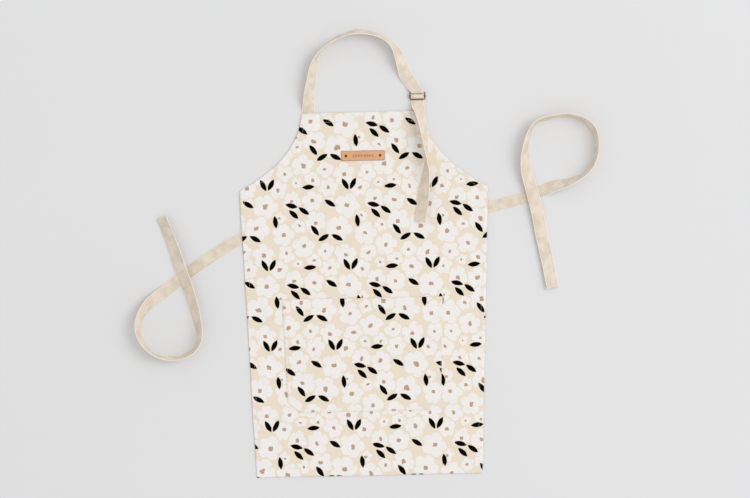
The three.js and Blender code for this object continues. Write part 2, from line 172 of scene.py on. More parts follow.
def strap_track(route, places=500):
    """route holds (x, y, lean in degrees, height of the lower edge), in millimetres.

    Where it stands on edge it gets small kinks, because tape never rolls up quite evenly.
    """
    points = [Vector((row[0], row[1], 0)) for row in route]
    rolls = [Vector((row[2], row[3] if len(row) > 3 else 0, 0)) for row in route]
    spots, faces = [], []
    for step in range(places + 1):
        share = step / places
        spot = through_points(points, share)
        roll = through_points(rolls, share)
        near = [through_points(points, min(max(share + side, 0), 1)) for side in (-1e-3, 1e-3)]
        along = (near[1] - near[0]).normalized()
        standing = math.sin(math.radians(roll.x)) ** 2
        kink = noise.noise(spot / KINK_LENGTH) * standing
        twist = noise.noise(spot / TWIST_LENGTH) * standing
        lean = math.radians(roll.x + KINK_TURN * kink + TWIST_TURN * twist)
        left = UP.cross(along)
        spot = spot + left * KINK_PUSH * kink
        across = left * math.cos(lean) + UP * math.sin(lean)
        face = along.cross(across)
        raised = (STRAP_WIDTH * abs(across.z) + STRAP_THICKNESS * abs(face.z)) / 2
        spots.append((spot + UP * (max(roll.y, 0) + raised)) * MM)
        faces.append(face)
    return Track(spots, faces)


# %% Sizes of the apron's parts
body_low, body_high = packed("body_panel")
wire_low, wire_high = packed("buckle_frame")
slide_low, slide_high = packed("buckle_slide_bar")
HEM_Y = body_low[1]
BIB_TOP = body_high[1]
FACE_Z = body_high[2]
LEFT_STRAP_X = -131
RIGHT_STRAP_X = 131
WIRE_RADIUS = (wire_high[2] - wire_low[2]) / 2
WIRE_Z = (wire_low[2] + wire_high[2]) / 2
BUCKLE_X = (wire_low[0] + wire_high[0]) / 2
BOTTOM_BAR_Y = wire_low[1] + WIRE_RADIUS
TOP_BAR_Y = wire_high[1] - WIRE_RADIUS
SLIDE_BAR_Y = (slide_low[1] + slide_high[1]) / 2
# The middle of the strap's thickness: under the bars, under the bottom bar, and over the slide bar.
LOWER_Z = STRAP_THICKNESS / 2 + 0.1
TAIL_Z = LOWER_Z + STRAP_THICKNESS + 0.5
FOLD_Z = 4.6
ON_FLAP = STRAP_THICKNESS + 0.3
TURNED_END = 30
# The neck strap hangs askew from the buckle, by this much of its height over the top bar.
SLANT = 0.65
CUT_GAP = 0.03
print("strap", STRAP_WIDTH, "wide, buckle's bars at", BOTTOM_BAR_Y, SLIDE_BAR_Y, TOP_BAR_Y)


def askew_x(y):
    return BUCKLE_X - SLANT * max(0, y - TOP_BAR_Y)


# %% The neck strap's route
# Each row is its share of the way across, its height above the bib, and its lean.
NECK_ARCH = [
    (0.0, -30, 0), (0.0, -14, 0), (0.0, 4, 0), (0.004, 18, 12), (0.008, 33, 24), (0.019, 57, 36),
    (0.034, 81, 46), (0.049, 105, 57), (0.077, 129, 68), (0.109, 145, 80), (0.165, 161, 90),
    (0.259, 179, 100), (0.349, 190, 109), (0.417, 195, 115), (0.488, 197, 118), (0.578, 193, 114),
    (0.672, 184, 109), (0.743, 172, 110), (0.807, 153, 123), (0.85, 127, 142), (0.878, 104, 160),
]
join_y = TOP_BAR_Y + TURNED_END + CUT_GAP
neck_track = strap_track(
    [
        (mixed(LEFT_STRAP_X, BUCKLE_X, share), BIB_TOP + above, lean)
        for share, above, lean in NECK_ARCH
    ]
    + [(askew_x(join_y + 14), join_y + 14, 175, ON_FLAP / 2), (askew_x(join_y), join_y, 180, ON_FLAP)]
)
print("neck strap", round(neck_track.length, 3), "m")

# %% The adjusting strap's route
# It comes up flat from behind the bib, and its tail turns half over on its way down. Each row of
# the tail is how far right of the buckle and below the bib's top it is, and its lean.
anchor_track = strap_track(
    [
        (RIGHT_STRAP_X, BIB_TOP - 30, 0), (RIGHT_STRAP_X, BIB_TOP - 12, 0),
        (mixed(RIGHT_STRAP_X, BUCKLE_X, 0.2), BIB_TOP + 1, 0),
        (mixed(RIGHT_STRAP_X, BUCKLE_X, 0.64), BIB_TOP + 13, 0),
        (mixed(RIGHT_STRAP_X, BUCKLE_X, 0.96), BIB_TOP + 23, 0), (BUCKLE_X, BOTTOM_BAR_Y - CUT_GAP, 0),
    ],
    places=80,
)
TAIL_ROUTE = [
    (1, -14, -12), (5, 0, -32), (8, 14, -43), (12, 34, -51), (15, 58, -58), (17.5, 78, -65),
    (19, 97, -74), (19.5, 111, -88), (18.5, 126, -104), (17, 146, -121), (15, 169, -135),
    (12, 194, -145), (8.5, 220, -151), (5, 244, -153), (0.5, 270, -153),
]
under_bar = TAIL_Z - STRAP_THICKNESS / 2
over_cloth = FACE_Z + 0.9
tail_track = strap_track(
    [(BUCKLE_X, BOTTOM_BAR_Y - gap, 0, under_bar) for gap in (CUT_GAP, 3)]
    + [(BUCKLE_X + right, BIB_TOP - below, lean, over_cloth) for right, below, lean in TAIL_ROUTE],
    places=300,
)
print("tail", round(tail_track.length, 3), "m")

# %% The waist ties' routes
# Each row is how far out from the apron's side it is, its y, its lean, and where the tie crosses its
# own first leg, what share of the leg's height it is lifted by.
LEFT_TIE_ROUTE = [
    (-36, 70, 0), (-18, 54, 0), (4, 37, 0), (29, 26, 0), (54, 10, 0), (78, -5, 0), (103, -22, 0),
    (128, -39, 0), (153, -56, 0), (178, -77, 0), (202, -95, -8), (226, -113, -28), (242, -130, -48),
    (253, -149, -62), (258, -169, -68), (256, -191, -72), (247, -211, -76), (232, -229, -77),
    (213, -242, -76), (188, -249, -74), (162, -249, -74), (139, -242, -74), (120, -229, -73),
    (109, -210, -68), (108, -187, -57, 0.3), (112, -162, -47, 0.7), (117, -138, -40, 1),
    (123, -113, -37, 1), (130, -89, -34, 1), (138, -64, -32, 1), (147, -39, -31, 1),
    (155, -15, -30, 1), (163, 10, -30, 0.6), (172, 34, -30, 0.2), (180, 56, -30), (189, 79, -31),
    (195, 94, -32),
]
RIGHT_TIE_ROUTE = [
    (-38, 91, 0), (-18, 97, 0), (2, 102, 0), (30, 109, 0), (56, 115, 0), (81, 121, 0), (105, 129, 0),
    (130, 139, 0), (155, 148, -10), (179, 155, -34), (203, 161, -54), (223, 169, -68),
    (241, 180, -75), (257, 197, -77), (267, 220, -76), (271, 244, -74), (269, 269, -70),
    (260, 291, -67), (243, 309, -70), (222, 319, -74), (197, 323, -76), (172, 321, -76),
    (148, 316, -75), (128, 309, -75), (114, 296, -74), (104, 277, -70), (98, 253, -62),
    (95, 228, -51, 0.3), (96, 204, -36, 0.7), (100, 180, -23, 1), (107, 155, -15, 1),
    (113, 130, -12, 1), (119, 106, -12, 1), (124, 81, -12, 0.7), (128, 57, -12, 0.3),
    (132, 32, -12), (137, 8, -12), (142, -17, -12), (147, -41, -13), (151, -66, -14),
    (157, -97, -15),
]
TIE_ANCHOR_X = 299.6


def tie_track(route, side):
    rows = [row if len(row) > 3 else (*row, 0) for row in route]
    return strap_track(
        [(side * (TIE_ANCHOR_X + out), y, lean, lifted * 2 * ON_FLAP) for out, y, lean, lifted in rows]
    )


left_tie_track = tie_track(LEFT_TIE_ROUTE, -1)
right_tie_track = tie_track(RIGHT_TIE_ROUTE, 1)
print("ties", round(left_tie_track.length, 3), round(right_tie_track.length, 3), "m")

# %% [markdown]
# ## A small language for finishes
# A finish is a network of shader nodes. Wired by hand it takes hundreds of lines, so one class wraps
# a socket and lets Python's own signs add the Math nodes: `1 - mask * 0.3` is two nodes. Any other
# node comes from one method that takes the node's type, its settings and its inputs.

# %% Sockets that add up
class Socket:
    def __init__(self, finish, socket):
        self.finish = finish
        self.socket = socket

    def math(self, operation, *others):
        inputs = dict(enumerate((self, *others)))
        return self.finish.node("ShaderNodeMath", {"operation": operation}, inputs)

    def other(self, name):
        """Another output of the node that this socket belongs to."""
        return Socket(self.finish, self.socket.node.outputs[name])

    def __add__(self, value):
        return self.math("ADD", value)

    __radd__ = __add__

    def __mul__(self, value):
        return self.math("MULTIPLY", value)

    __rmul__ = __mul__

    def __sub__(self, value):
        return self.math("SUBTRACT", value)

    def __rsub__(self, value):
        return (self * -1) + value

    def __pow__(self, value):
        return self.math("POWER", value)


class Finish:
    """One material, with the nodes that make it."""

    def __init__(self, name):
        self.material = bpy.data.materials.new(name)
        self.material.use_nodes = True
        self.tree = self.material.node_tree
        self.shader = self.tree.nodes["Principled BSDF"]

    def node(self, kind, settings=None, inputs=None, out=0):
        made = self.tree.nodes.new(kind)
        for key, value in (settings or {}).items():
            setattr(made, key, value)
        for key, value in (inputs or {}).items():
            self.feed(made.inputs[key], value)
        return Socket(self, made.outputs[out])

    def feed(self, target, value):
        if isinstance(value, Socket):
            self.tree.links.new(value.socket, target)
        else:
            target.default_value = value

    def set(self, **values):
        """Shader inputs by name, with _ for a space."""
        for key, value in values.items():
            self.feed(self.shader.inputs[key.replace("_", " ")], value)

    def vector(self, operation, *values, out=0):
        return self.node("ShaderNodeVectorMath", {"operation": operation}, dict(enumerate(values)), out)

    def place(self, kind="Object"):
        """Coordinates in millimetres. A tape's UV runs across it and then along it."""
        coordinates = self.node("ShaderNodeTexCoord", out=kind)
        return self.vector("MULTIPLY", coordinates, (1 / MM, 1 / MM, 1 / MM))

    def blotches(self, place, size, detail=2.0, out=0):
        """Noise whose features are about size millimetres across."""
        inputs = {"Vector": place, "Scale": 1 / size, "Detail": detail}
        return self.node("ShaderNodeTexNoise", {}, inputs, out)

    def step(self, value, low, high):
        """A soft step from 0 at low to 1 at high."""
        inputs = {"Value": value, "From Min": low, "From Max": high}
        return self.node("ShaderNodeMapRange", {"interpolation_type": "SMOOTHSTEP"}, inputs)

    def mix(self, share, a, b):
        """Colour a where share is 0, and b where it is 1."""
        return self.node("ShaderNodeMix", {"data_type": "RGBA"}, {0: share, 6: a, 7: b}, 2)

    def bump(self, height, distance):
        """height runs from 0 to 1, over distance in millimetres."""
        inputs = {"Height": height, "Distance": distance * MM}
        self.set(Normal=self.node("ShaderNodeBump", {}, inputs))


def paint(red, green, blue):
    """A shader colour from the 0 to 255 values of a paint chart."""
    parts = [c / 255 for c in (red, green, blue)]
    linear = [c / 12.92 if c <= 0.04045 else ((c + 0.055) / 1.055) ** 2.4 for c in parts]
    return (*linear, 1.0)


def darker(colour, share):
    return (*(c * share for c in colour[:3]), 1.0)


# %% [markdown]
# ## The print
# The canvas is printed with white five-petalled flowers that nearly touch, tan middles, and black
# leaves, on beige. A real print repeats from a block, so one block is laid out here and wrapped over
# the cloth. The leaves are listed one by one. The flowers then push each other and the leaves apart
# until they fill what is left, which is how a designer fills a repeat.

# %% Lay out one block of the print
BLOCK = (200, 196)
LEAF_HALF_LENGTH = 15.5
LEAF_HALF_WIDTH = 5.9
# (x, y, turn in degrees)
LEAVES = [
    (156, 168, 118), (175, 169, 62),
    (80, 56, 126), (101, 38, 30), (134, 38, -28),
    (24, 117, -14), (54, 104, -36), (29, 96, -44),
    (66, 162, 5), (118, 122, -32), (184, 78, 96),
]
# Round stones along each leaf, as (how far along, radius), which keep the flowers off it.
LEAF_STONES = ((-10, 3.5), (0, 6), (10, 3.5))
FLOWER_SIZES = [31, 29, 28, 27, 26, 26, 25, 24, 23, 22, 21, 20, 18, 16, 15, 13, 12]


def wrapped(x, y):
    """The shortest way from one place to another, when the block repeats on all sides."""
    width, height = BLOCK
    return Vector((x - width * round(x / width), y - height * round(y / height)))


def lay_out_flowers(seed=45, rounds=700):
    """[x, y, radius, petals, turn] for each flower of the block."""
    dice = random.Random(seed)
    flowers = [
        [dice.uniform(0, BLOCK[0]), dice.uniform(0, BLOCK[1]), size, dice.choice((5, 5, 5, 4, 6)),
         dice.uniform(0, math.tau)]
        for size in FLOWER_SIZES
    ]
    stones = []
    for x, y, turn in LEAVES:
        way = Vector((math.cos(math.radians(turn)), math.sin(math.radians(turn))))
        for along, radius in LEAF_STONES:
            stones.append((x + way.x * along, y + way.y * along, radius))
    for turn in range(rounds):
        push = 0.5 * (1 - turn / rounds) + 0.1
        for i, flower in enumerate(flowers):
            others = [other[:3] for j, other in enumerate(flowers) if j != i] + stones
            for x, y, radius in others:
                gap = wrapped(flower[0] - x, flower[1] - y)
                overlap = flower[2] + radius - gap.length
                if overlap > 0:
                    flower[0] += gap.normalized().x * overlap * push
                    flower[1] += gap.normalized().y * overlap * push
    return flowers


flowers = lay_out_flowers()
covered = sum(math.pi * flower[2] ** 2 for flower in flowers) / (BLOCK[0] * BLOCK[1])
print("flowers cover", round(covered, 2), "of the block")

# %% [markdown]
# ### Drawing it with distances
# Each flower is the distance from its middle less the length of its petals, which swings round the
# flower. Each leaf is the lens where two circles cross. The least of all the distances tells at every
# place how near the next flower is, and a soft step turns that into ink. Where two flowers meet, the
# two least are nearly the same, and a thin channel of the ground is left there. A slow noise bends
# the whole drawing first, so that no petal is quite like the next.

# %% Printed canvas
GROUND = paint(243, 229, 210)
PETAL = paint(247, 243, 240)
HEART = paint(196, 162, 138)
LEAF_INK = paint(3, 2, 2)
HALO = paint(238, 226, 206)
CHANNEL = 3.4
WEAVE = 0.95
# How long the noises are that bend the drawing and fray its edges, and how far they push it.
BEND_LENGTH = 38
BEND = (16, 16, 0)
FRAY_LENGTH = 10
FRAY = (8, 8, 0)
LEAF_FRAY = (2, 2, 0)


def block_spot(finish, place, x, y):
    """The place measured from (x, y), in every repeat of the block."""
    low = (x - BLOCK[0] / 2, y - BLOCK[1] / 2, -0.5)
    high = (x + BLOCK[0] / 2, y + BLOCK[1] / 2, 0.5)
    near = finish.vector("WRAP", place, high, low)
    return finish.vector("SUBTRACT", near, (x, y, 0))


def least(values):
    """The least of many sockets."""
    smallest = values[0]
    for value in values[1:]:
        smallest = smallest.math("MINIMUM", value)
    return smallest


def least_two(values):
    """The least of many sockets, and the one after it."""
    first, second = values[0].math("MINIMUM", values[1]), values[0].math("MAXIMUM", values[1])
    for value in values[2:]:
        second = second.math("MINIMUM", first.math("MAXIMUM", value))
        first = first.math("MINIMUM", value)
    return first, second


def flower_distances(finish, place, x, y, radius, petals, turn):
    """How far outside the petals, and outside the heart, every place is."""
    spot = block_spot(finish, place, x, y)
    reach = finish.vector("LENGTH", spot, out=1)
    parts = finish.node("ShaderNodeSeparateXYZ", {}, {0: spot})
    angle = parts.other("Y").math("ARCTAN2", parts)
    swing = angle.math("MULTIPLY_ADD", petals / 2, turn).math("SINE").math("ABSOLUTE") ** 0.26
    sides = finish.node("ShaderNodeSeparateXYZ", {}, {0: finish.vector("ABSOLUTE", spot)})
    squared = sides.math("MAXIMUM", sides.other("Y"))
    heart = 0.15 * radius + 0.9
    return reach - (swing * (0.62 * radius) + 0.42 * radius), squared * 0.55 + reach * 0.45 - heart


def lens_distance(finish, spot, length, width):
    """How far outside a lens along X every place is, from the lens's half length and half width."""
    radius = (length**2 + width**2) / (2 * width)
    folded = finish.vector("ABSOLUTE", spot)
    return finish.vector("DISTANCE", folded, (0, width - radius, 0), out=1) - radius


def leaf_distance(finish, place, x, y, turn):
    spot = block_spot(finish, place, x, y)
    inputs = {"Vector": spot, "Angle": math.radians(-turn)}
    turned = finish.node("ShaderNodeVectorRotate", {"rotation_type": "Z_AXIS"}, inputs)
    return lens_distance(finish, turned, LEAF_HALF_LENGTH, LEAF_HALF_WIDTH)


def canvas_weave(finish, place):
    """Threads over and under one another, from 0 to 1."""
    parts = finish.node("ShaderNodeSeparateXYZ", {}, {0: place})
    warp = (parts * (math.pi / WEAVE)).math("SINE")
    weft = (parts.other("Y") * (math.pi / WEAVE)).math("SINE")
    slub = finish.blotches(finish.vector("MULTIPLY", place, (0.18, 1, 1)), 2.2)
    return warp * weft * 0.32 + 0.34 + slub * 0.34


def printed_canvas(name, shift):
    finish = Finish(name)
    flat = finish.vector("MULTIPLY", finish.place(), (1, 1, 0))
    moved = finish.vector("ADD", flat, (*shift, 0))
    bend = finish.blotches(moved, BEND_LENGTH, 1.0, "Color")
    fray = finish.blotches(moved, FRAY_LENGTH, 3.0, "Color")
    bent = finish.vector("MULTIPLY_ADD", bend, BEND, moved)
    drawn = finish.vector("MULTIPLY_ADD", fray, FRAY, bent)
    pairs = [flower_distances(finish, drawn, *flower) for flower in flowers]
    petals, next_petals = least_two([petal for petal, heart in pairs])
    petals = petals.math("MAXIMUM", CHANNEL - (next_petals - petals))
    hearts = least([heart for petal, heart in pairs])
    leaf_place = finish.vector("MULTIPLY_ADD", fray, LEAF_FRAY, moved)
    leaves = least([leaf_distance(finish, leaf_place, *leaf) for leaf in LEAVES])
    ground = finish.mix(finish.blotches(moved, 60, 3.0), GROUND, darker(GROUND, 0.93))
    petal = finish.mix(finish.blotches(moved, 24, 3.0), PETAL, darker(PETAL, 0.95))
    colour = finish.mix(finish.step(petals, 0.5, -0.3), ground, petal)
    colour = finish.mix(finish.step(hearts, 0.4, -0.3), colour, HEART)
    colour = finish.mix(finish.step(leaves, 1.8, 1.2), colour, HALO)
    inked = finish.step(leaves, 0.3, -0.2)
    colour = finish.mix(inked, colour, LEAF_INK)
    weave = canvas_weave(finish, flat)
    # The colour follows the weave's height: painted shade where the threads dip under, and a painted
    # highlight on their tops.
    shade = finish.node("ShaderNodeMapRange", {}, {"Value": weave, "To Min": 0.9, "To Max": 1.06})
    colour = finish.vector("MULTIPLY", colour, shade)
    finish.set(Base_Color=colour, Roughness=0.92 - inked * 0.12, Specular_IOR_Level=0.04)
    finish.bump(weave, 0.28)
    return finish.material


# The pocket is cut from another place of the same cloth, so its print doesn't match the body's.
body_canvas = printed_canvas("body_canvas", (0, 0))
pocket_canvas = printed_canvas("pocket_canvas", (41, 0))
print(len(body_canvas.node_tree.nodes), "nodes in the print")

# %% [markdown]
# ## Cotton tape, thread, leather and metal
# The straps are undyed cotton twill with fine diagonal ribs, and their folded edges get a painted
# highlight.
# Their pattern follows the tape, so it reads the tape's own UV map, which is in metres. Leather has
# a pebbled grain and darker, burnished edges. The metal is an old brass that has worn bright on its
# high places.

# %% Cotton tape and thread
EDGE_STITCH_IN = 3.1
RIB_PITCH = 1.1


def cotton_tape(name, light, dark, folded):
    finish = Finish(name)
    place = finish.place("UV")
    across = finish.node("ShaderNodeSeparateXYZ", {}, {0: place})
    rib = ((across + across.other("Y")) * (math.tau / RIB_PITCH)).math("SINE") * 0.5 + 0.5
    slub = finish.blotches(finish.vector("MULTIPLY", place, (1, 0.15, 1)), 1.4)
    from_middle = across.math("ABSOLUTE")
    from_seam = (from_middle - (STRAP_WIDTH / 2 - EDGE_STITCH_IN)).math("ABSOLUTE")
    groove = finish.step(from_seam, 0.1, 1.1)
    height = rib * 0.3 + slub * 0.3 + groove * 0.4
    mottle = finish.blotches(place, 26, 3.0)
    colour = finish.mix(finish.step(mottle, 0.35, 0.65), light, dark)
    # A lighter band along both edges, in the colour folded, is a painted highlight where the folded
    # edges catch the light.
    colour = finish.mix(finish.step(from_middle, 13.6, 15.2), colour, folded)
    # The colour follows the relief of the ribs, the slubs and the edge seams' grooves: painted shade
    # where they dip, and a painted highlight on top.
    shade = finish.node("ShaderNodeMapRange", {}, {"Value": height, "To Min": 0.86, "To Max": 1.05})
    colour = finish.vector("MULTIPLY", colour, shade)
    finish.set(Base_Color=colour, Roughness=0.86 + slub * 0.1)
    finish.set(Specular_IOR_Level=0.2, Sheen_Weight=0.15, Sheen_Roughness=0.5)
    finish.bump(height, 0.3)
    return finish.material


# The last colour is the painted highlight on the folded edges.
tape = cotton_tape("cotton_tape", paint(235, 222, 205), paint(221, 206, 187), paint(252, 245, 235))


def sewing_thread(name, colour):
    finish = Finish(name)
    place = finish.place()
    inputs = {"Vector": place, "Scale": 0.9}
    strand = finish.node("ShaderNodeTexWave", {"bands_direction": "DIAGONAL"}, inputs)
    tone = finish.blotches(place, 14)
    # The thread is darker in the grooves of its twist, which is painted shade, and in blotches of its
    # own tone.
    shaded = finish.mix(strand * 0.5 + tone * 0.4, colour, darker(colour, 0.82))
    finish.set(Base_Color=shaded, Roughness=0.6 + tone * 0.2)
    finish.bump(strand, 0.06)
    return finish.material


thread = sewing_thread("ecru_thread", paint(240, 228, 210))

# %% Tan leather with a pressed sprig
SPRIG_HALF_LENGTH = 26
SPRIG_STEM = 0.45
SPRIG_LEAVES = 4
SPRIG_LEAF = (3.6, 0.95)
SPRIG_LEAF_TURN = math.radians(34)
SPRIG_LEAF_OUT = 1.9
label_low, label_high = (Vector(corner) for corner in packed("leather_label"))
label_middle = (label_low + label_high) / 2
label_half = (label_high - label_low) / 2


def tan_leather(name):
    finish = Finish(name)
    place = finish.vector("SUBTRACT", finish.place(), tuple(label_middle))
    folded = finish.vector("ABSOLUTE", place)
    from_edge = finish.vector("SUBTRACT", tuple(label_half), folded)
    parts = finish.node("ShaderNodeSeparateXYZ", {}, {0: from_edge})
    rim = finish.step(parts.math("MINIMUM", parts.other("Y")), 0.2, 1.9)
    flat = finish.vector("MULTIPLY", place, (1, 1, 0))
    mirrored = finish.vector("ABSOLUTE", flat)
    shapes = [lens_distance(finish, mirrored, SPRIG_HALF_LENGTH, SPRIG_STEM)]
    for leaf in range(SPRIG_LEAVES):
        x = SPRIG_HALF_LENGTH * (leaf + 0.6) / SPRIG_LEAVES
        spot = finish.vector("SUBTRACT", mirrored, (x, SPRIG_LEAF_OUT, 0))
        inputs = {"Vector": spot, "Angle": -SPRIG_LEAF_TURN}
        turned = finish.node("ShaderNodeVectorRotate", {"rotation_type": "Z_AXIS"}, inputs)
        shapes.append(lens_distance(finish, turned, *SPRIG_LEAF))
    pressed = finish.step(least(shapes), 0.2, -0.15)
    grain = finish.node("ShaderNodeTexVoronoi", {}, {"Vector": place, "Scale": 1.1})
    patches = finish.blotches(place, 9, 4.0)
    colour = finish.mix(patches, paint(232, 180, 138), paint(214, 156, 114))
    colour = finish.mix((1 - rim) * 0.8, colour, paint(158, 100, 64))
    colour = finish.mix(pressed * 0.6, colour, paint(124, 76, 44))
    finish.set(Base_Color=colour, Roughness=0.5 + grain * 0.12)
    finish.bump(grain * 0.25 + patches * 0.2 - pressed * 0.5 + rim * 0.3, 0.5)
    return finish.material


leather = tan_leather("tan_leather")


# %% Aged metal
def aged_metal(name, base, worn):
    finish = Finish(name)
    place = finish.place()
    patina = finish.blotches(place, 3.5, 4.0)
    scratches = finish.blotches(finish.vector("MULTIPLY", place, (0.25, 2.5, 1)), 1.2)
    wear = finish.step(patina * 0.7 + scratches * 0.3, 0.42, 0.66)
    finish.set(Base_Color=finish.mix(wear, base, worn), Metallic=0.75 + wear * 0.2)
    finish.set(Roughness=0.48 - wear * 0.16)
    finish.bump(patina * 0.6 + scratches * 0.4, 0.08)
    return finish.material


antique_brass = aged_metal("antique_brass", paint(92, 62, 42), paint(150, 112, 78))
rivet_copper = aged_metal("rivet_copper", paint(104, 56, 34), paint(158, 98, 62))

# %% [markdown]
# ## The canvas, lying on the table
# The body is one sheet, cut narrow at the bib and wide below the armholes, with every edge turned
# under twice and sewn. A grid is mapped onto the outline row by row, so that its edges are clean, and
# its outer edge is extruded round and under for the hem. Cloth that lies on a table has only small
# slow waves, so a noise sets its height, and it stands a little higher on its hems and over the strap
# ends that are sewn behind it. Its threads stray a little sideways too. That takes a noise vector,
# which starts from the clock unless it gets a seed, and then no two runs would be the same.

# %% The apron's outline
UNDERARM_Y = 154
SIDE_HEM = 12
END_HEM = 25
HEM_HALF_WIDTH = 275
ARMHOLE_STEPS = 60
# The four points of the curve from the bib's corner to the underarm.
ARMHOLE = [
    Vector((146, BIB_TOP)), Vector((158, 271.8)), Vector((190, 215.7)),
    Vector((body_high[0], UNDERARM_Y)),
]


def armhole_at(share):
    a, b, c, d = ARMHOLE
    s = 1 - share
    return a * s**3 + b * 3 * s * s * share + c * 3 * s * share**2 + d * share**3


armhole_line = [armhole_at(step / ARMHOLE_STEPS) for step in range(ARMHOLE_STEPS + 1)]


def half_width(y):
    if y <= UNDERARM_Y:
        return mixed(ARMHOLE[3].x, HEM_HALF_WIDTH, (UNDERARM_Y - y) / (UNDERARM_Y - HEM_Y))
    for upper, lower in zip(armhole_line, armhole_line[1:]):
        if y >= lower.y:
            return mixed(upper.x, lower.x, (upper.y - y) / (upper.y - lower.y))
    return ARMHOLE[0].x


# %% How high the cloth lies
CANVAS = 0.45
HEM_LAYER = 0.5
HEM_SLOPE = 8
# How long the cloth's waves are, and how high below the waist and on the bib.
SLOW_WAVE = 150
SLOW_HEIGHTS = (2.6, 0.75)
QUICK_WAVE = 62
QUICK_HEIGHTS = (0.8, 0.25)
LABEL_REST = 2.55
# How far from a strap's middle line the canvas over it starts to fall, and where it is down.
STRAP_SHOULDER = (16, 27)
# The line of each strap end that lies under the canvas, and how far it lifts the canvas.
TUCKED = [
    (Vector((LEFT_STRAP_X, BIB_TOP + 4)), Vector((LEFT_STRAP_X, BIB_TOP - 30)), 1.5),
    (Vector((RIGHT_STRAP_X, BIB_TOP + 4)), Vector((RIGHT_STRAP_X, BIB_TOP - 30)), 0.8),
    (Vector((-304, 37)), Vector((-264, 68)), 1.5),
    (Vector((304, 103)), Vector((262, 92)), 1.5),
]


def from_line(spot, a, b):
    way = b - a
    share = min(max((spot - a).dot(way) / way.length_squared, 0), 1)
    return (spot - a - way * share).length


def cloth_height(x, y):
    """Height of the middle of the canvas over the table, in millimetres."""
    past_side_hem = half_width(y) - abs(x) - SIDE_HEM
    past_end_hem = min(BIB_TOP - y, y - HEM_Y) - END_HEM
    inner = smooth(min(past_side_hem, past_end_hem), 1, HEM_SLOPE + 1)
    calm = smooth(y, -20, 60)
    slow = 0.5 + 0.5 * noise.noise(Vector((x, y, 3)) / SLOW_WAVE)
    quick = 0.5 + 0.5 * noise.noise(Vector((x, y, 90)) / QUICK_WAVE)
    wave = mixed(*SLOW_HEIGHTS, calm) * slow + mixed(*QUICK_HEIGHTS, calm) * quick
    spot = Vector((x, y))
    tucked = max(rise * (1 - smooth(from_line(spot, a, b), *STRAP_SHOULDER)) for a, b, rise in TUCKED)
    from_label = max(abs(x) - label_half.x, abs(y - label_middle.y) - label_half.y)
    height = 1.3 + 0.85 * calm - 2 * HEM_LAYER * inner + wave * mixed(0.35, 1, inner)
    return mixed(LABEL_REST, height, smooth(from_label, 1, 16)) + tucked


# %% How far its threads stray sideways
SWAY = 1.5
SWAY_LENGTH = 120
noise.seed_set(7)


def on_cloth(x, y, above=0):
    """A place on the canvas in metres, above being millimetres over the canvas's middle."""
    sway = noise.noise_vector(Vector((x, y, 40)) / SWAY_LENGTH) * SWAY
    return Vector((x + sway.x, y + sway.y, cloth_height(x, y) + above)) * MM


# %% Turn a sheet into an object
def made_object(name, bm, finish):
    mesh = bpy.data.meshes.new(name)
    bm.to_mesh(mesh)
    bm.free()
    mesh.materials.append(finish)
    piece = bpy.data.objects.new(name, mesh)
    bpy.context.scene.collection.objects.link(piece)
    return piece


def settled(piece):
    """Applies the piece's modifiers, so that its mesh is final."""
    graph = bpy.context.evaluated_depsgraph_get()
    mesh = bpy.data.meshes.new_from_object(piece.evaluated_get(graph))
    piece.modifiers.clear()
    piece.data = mesh
    mesh.name = piece.name
    mesh.shade_smooth()
    return piece


def thicken(piece, thickness, bevel=0, segments=2):
    wall = piece.modifiers.new("wall", "SOLIDIFY")
    wall.thickness = thickness * MM
    wall.offset = 0
    wall.use_quality_normals = True
    if bevel:
        rounding = piece.modifiers.new("rounding", "BEVEL")
        rounding.width = bevel * MM
        rounding.segments = segments
        rounding.limit_method = "ANGLE"
        rounding.angle_limit = math.radians(50)
    return settled(piece)


# %% A sheet with its edges turned under
def inward(vert):
    """The way in from a corner or side of a flat sheet, one millimetre from each side."""
    sides = []
    for edge in vert.link_edges:
        if edge.is_boundary:
            a, b = (end.co for end in edge.verts)
            along = (b - a).normalized()
            into = edge.link_faces[0].calc_center_median() - (a + b) / 2
            sides.append((into - along * into.dot(along)).normalized())
    middle = (sides[0] + sides[1]).normalized()
    return middle / middle.dot(sides[0])


def hemmed_sheet(name, columns, rows, flat_at, hem_at, lift, folds, finish):
    """A grid mapped by flat_at, its edge turned under by folds of (near, deep, drop).

    near is millimetres in from the edge, deep the share of the way to hem_at, where the hem ends.
    """
    bm = bmesh.new()
    bmesh.ops.create_grid(bm, x_segments=columns, y_segments=rows, size=0.5)
    hem_layer = bm.verts.layers.float_vector.new("hem")
    for vert in bm.verts:
        vert[hem_layer] = hem_at(vert.co.x, vert.co.y + 0.5)
        vert.co = flat_at(vert.co.x, vert.co.y + 0.5)
    near_layer = bm.verts.layers.float_vector.new("near")
    edge_layer = bm.verts.layers.float_vector.new("edge")
    rim = [vert for vert in bm.verts if vert.is_boundary]
    for vert in rim:
        vert[near_layer] = inward(vert)
        vert[edge_layer] = vert.co
    front = list(bm.verts)
    folded = [(rim, folds[0])]
    edges = [edge for edge in bm.edges if edge.is_boundary]
    for fold in folds[1:]:
        grown = bmesh.ops.extrude_edge_only(bm, edges=edges)["geom"]
        edges = [item for item in grown if isinstance(item, bmesh.types.BMEdge)]
        folded.append(([item for item in grown if isinstance(item, bmesh.types.BMVert)], fold))
    rim_set = set(rim)
    for vert in front:
        if vert not in rim_set:
            vert.co = lift(vert.co.x, vert.co.y, 0)
    for verts, (near, deep, drop) in folded:
        for vert in verts:
            edge = vert[edge_layer]
            spot = mixed(edge, vert[hem_layer], deep) + vert[near_layer] * near
            raised = lift(edge.x, edge.y, -drop)
            vert.co = raised + Vector((spot.x - edge.x, spot.y - edge.y, 0)) * MM
    bmesh.ops.recalc_face_normals(bm, faces=bm.faces)
    piece = made_object(name, bm, finish)
    return thicken(piece, CANVAS)


# %% The body
BODY_COLUMNS = 130
BODY_ROWS = 210
ARMHOLE_ROWS = 54


